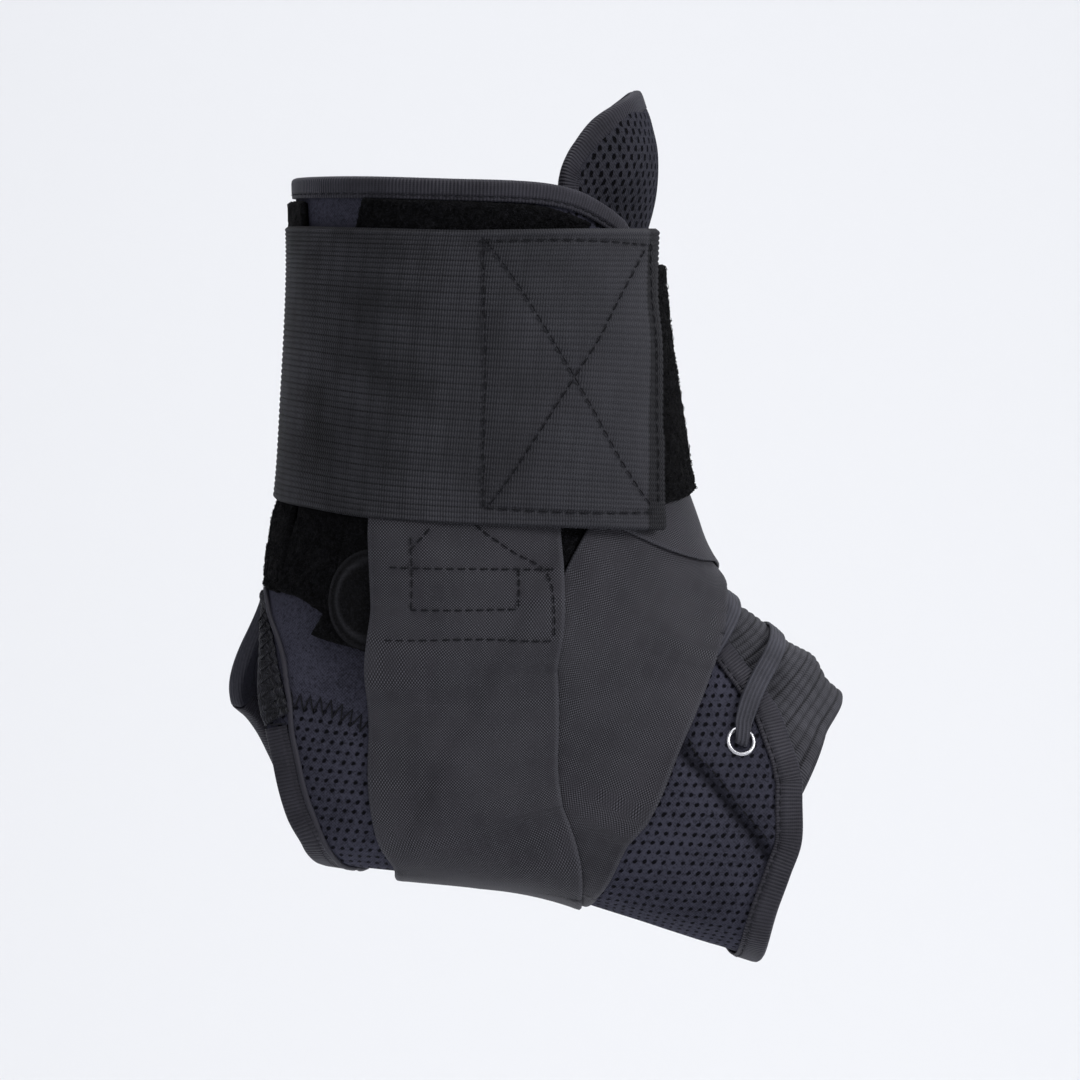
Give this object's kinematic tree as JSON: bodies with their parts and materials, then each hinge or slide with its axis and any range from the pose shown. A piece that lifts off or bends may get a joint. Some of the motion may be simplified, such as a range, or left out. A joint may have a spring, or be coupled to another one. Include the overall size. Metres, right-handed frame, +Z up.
{
  "type": "lace-up ankle brace",
  "caption": "Lace-up ankle brace for a right foot, with figure-of-eight straps, an elastic cuff, a padded tongue and an open heel.",
  "frame": {"origin": "middle of the ankle, where the leg's middle line meets the ankle joint", "axes": "+Z up the leg, +X to the toes, -Y to the outer side of the foot"},
  "size_m": [0.1624, 0.0951, 0.2278],
  "materials": {
    "panel_mesh": "perforated polyester mesh over thin foam",
    "grosgrain": "cross-ribbed grosgrain tape",
    "gathered_elastic": "gathered elastic with zigzag stitches",
    "black_webbing": "plain black webbing",
    "tongue_mesh": "padded perforated mesh",
    "instep_rib": "ribbed elastic",
    "loop_pile": "loop pile of a hook and loop closure",
    "hook_tab": "hook side of a hook and loop closure",
    "strap_weave": "plain ballistic weave",
    "cuff_rib": "ribbed elastic webbing",
    "eyelet_metal": "nickel-plated",
    "lace_braid": "flat braid"
  },
  "bodies": {
    "root": {"outer_panel": "panel_mesh", "inner_panel": "panel_mesh", "edge_tape": "grosgrain", "heel_band": "gathered_elastic", "heel_tape": "grosgrain", "back_tape": "black_webbing", "outer_loop_patch": "loop_pile", "inner_loop_patch": "loop_pile", "round_tab": "hook_tab", "first_strap": "strap_weave", "second_strap": "strap_weave", "tongue": "tongue_mesh", "tongue_tape": "grosgrain", "instep_elastic": "instep_rib", "cuff_flap": "loop_pile", "cuff_elastic": "cuff_rib", "lace": "lace_braid", "outer_eyelet_1": "eyelet_metal", "outer_eyelet_2": "eyelet_metal", "outer_eyelet_3": "eyelet_metal", "outer_eyelet_4": "eyelet_metal", "outer_eyelet_5": "eyelet_metal", "outer_eyelet_6": "eyelet_metal", "inner_eyelet_1": "eyelet_metal", "inner_eyelet_2": "eyelet_metal", "inner_eyelet_3": "eyelet_metal", "inner_eyelet_4": "eyelet_metal", "inner_eyelet_5": "eyelet_metal", "inner_eyelet_6": "eyelet_metal"}
  },
  "joints": []
}
